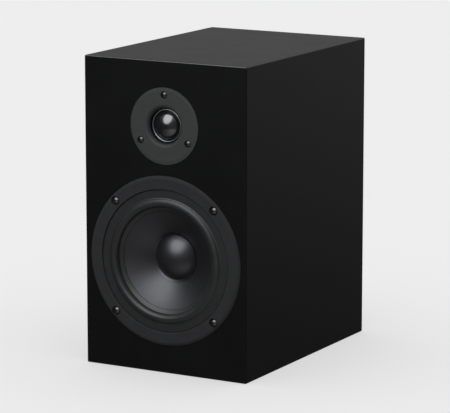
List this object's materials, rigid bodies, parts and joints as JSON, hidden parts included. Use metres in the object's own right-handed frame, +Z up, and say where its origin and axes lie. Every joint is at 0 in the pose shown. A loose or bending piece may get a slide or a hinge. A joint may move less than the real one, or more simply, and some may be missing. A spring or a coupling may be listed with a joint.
{
  "type": "bookshelf speaker",
  "caption": "Two-way bookshelf speaker: box cabinet with a dome tweeter above a cone woofer, a rear bass port and screw binding posts.",
  "frame": {"origin": "centre of the cabinet's underside, midway between the baffle's face and the back", "axes": "+Z up, -Y out of the front baffle, +Y out of the back, +X to the right as seen from the front"},
  "size_m": [0.164, 0.2611, 0.28],
  "materials": {
    "cabinet_lacquer": "satin black lacquer on MDF",
    "raw_board": "raw MDF",
    "felt": "grey needled felt",
    "port_plastic": "matt black moulding",
    "tweeter_plate_grey": "fine matt dark grey",
    "foam_gasket": "black foam",
    "bright_trim": "bright ring",
    "dome_gloss": "coated gloss black",
    "suspension_black": "soft black",
    "former_foil": "plain foil",
    "copper_winding": "enamelled copper",
    "plated_steel": "zinc plated steel",
    "magnet_nickel": "nickel plated magnet",
    "ferrite": "grey ferrite",
    "terminal_strip": "brown fibre strip with tinned tabs",
    "bright_screw": "bright plated screw",
    "basket_black": "satin black paint",
    "surround_rubber": "satin black rubber",
    "cone_grey": "satin dark grey cone",
    "cap_grey": "smooth dark grey cap",
    "spider_cloth": "resin-set amber cloth",
    "braid": "woven copper braid",
    "terminal_black": "fine matt black",
    "black_screw": "black oxide screw",
    "gold_plate": "gold plated brass",
    "red_plastic": "translucent red moulding",
    "black_plastic": "black moulding",
    "tinned_brass": "tinned brass",
    "board_fibre": "green fibre board",
    "nylon": "natural nylon",
    "zinc_screw": "zinc plated screw",
    "copper_coil": "enamelled copper on a bobbin",
    "film_yellow": "yellow wrapped film",
    "cement": "white cement",
    "wire_insulation": "smooth wire cover"
  },
  "bodies": {
    "cabinet": {"front_baffle": "cabinet_lacquer", "left_side_panel": "cabinet_lacquer", "right_side_panel": "cabinet_lacquer", "top_panel": "cabinet_lacquer", "bottom_panel": "cabinet_lacquer", "back_panel": "cabinet_lacquer", "window_brace": "raw_board", "damping_felts": "felt", "port_tube": "port_plastic", "tweeter_faceplate": "tweeter_plate_grey", "tweeter_gasket": "foam_gasket", "woofer_gasket": "foam_gasket", "terminal_gasket": "foam_gasket", "tweeter_trim_ring": "bright_trim", "tweeter_suspension": "suspension_black", "tweeter_pole_plate": "plated_steel", "tweeter_yoke": "plated_steel", "woofer_top_plate": "plated_steel", "woofer_yoke": "plated_steel", "tweeter_magnet": "magnet_nickel", "woofer_magnet": "ferrite", "tweeter_terminals": "terminal_strip", "woofer_terminals": "terminal_strip", "tweeter_screws": "bright_screw", "woofer_screws": "bright_screw", "woofer_basket": "basket_black", "woofer_surround": "surround_rubber", "woofer_spider": "spider_cloth", "woofer_tinsel_leads": "braid", "terminal_plate": "terminal_black", "terminal_screws": "black_screw", "red_binding_post": "gold_plate", "black_binding_post": "gold_plate", "red_post_collar": "red_plastic", "black_post_collar": "black_plastic", "post_nuts": "tinned_brass", "solder_lugs": "tinned_brass", "board_tags": "tinned_brass", "crossover_board": "board_fibre", "crossover_standoffs": "nylon", "cable_clips": "nylon", "crossover_screws": "zinc_screw", "woofer_inductor": "copper_coil", "tweeter_inductor": "copper_coil", "film_capacitors": "film_yellow", "ceramic_resistors": "cement", "input_leads": "wire_insulation", "woofer_leads": "wire_insulation", "tweeter_leads": "wire_insulation"},
    "moving_cone": {"woofer_cone": "cone_grey", "woofer_dust_cap": "cap_grey", "woofer_coil_former": "former_foil", "woofer_voice_coil": "copper_winding"},
    "moving_dome": {"tweeter_dome": "dome_gloss", "tweeter_coil_former": "former_foil", "tweeter_voice_coil": "copper_winding"},
    "red_washer": {"red_clamp_washer": "gold_plate"},
    "red_knob": {"red_knob": "red_plastic"},
    "black_washer": {"black_clamp_washer": "gold_plate"},
    "black_knob": {"black_knob": "black_plastic"}
  },
  "joints": [
    {"name": "woofer_excursion", "type": "slide", "parent": "cabinet", "child": "moving_cone", "axis": [0, -1, 0], "range_m": [-0.004, 0.004], "stiffness_N_per_m": 1200, "deforming": ["woofer_surround", "woofer_spider", "woofer_tinsel_leads"]},
    {"name": "tweeter_excursion", "type": "slide", "parent": "cabinet", "child": "moving_dome", "axis": [0, -1, 0], "range_m": [-0.0005, 0.0005], "stiffness_N_per_m": 1500, "deforming": ["tweeter_suspension"]},
    {"name": "red_washer_slide", "type": "slide", "parent": "cabinet", "child": "red_washer", "axis": [0, 1, 0], "range_m": [0, 0.005]},
    {"name": "red_knob_turn", "type": "hinge", "parent": "red_washer", "child": "red_knob", "pos_m": [-0.0095, 0.1313, 0.084], "axis": [0, 1, 0], "range_deg": [0, 1800]},
    {"name": "black_washer_slide", "type": "slide", "parent": "cabinet", "child": "black_washer", "axis": [0, 1, 0], "range_m": [0, 0.005]},
    {"name": "black_knob_turn", "type": "hinge", "parent": "black_washer", "child": "black_knob", "pos_m": [0.0095, 0.1313, 0.084], "axis": [0, 1, 0], "range_deg": [0, 1800]}
  ],
  "couplings": [
    {"joint": "red_washer_slide", "follows": "red_knob_turn", "m_per_rad": 0.00015915},
    {"joint": "black_washer_slide", "follows": "black_knob_turn", "m_per_rad": 0.00015915}
  ]
}
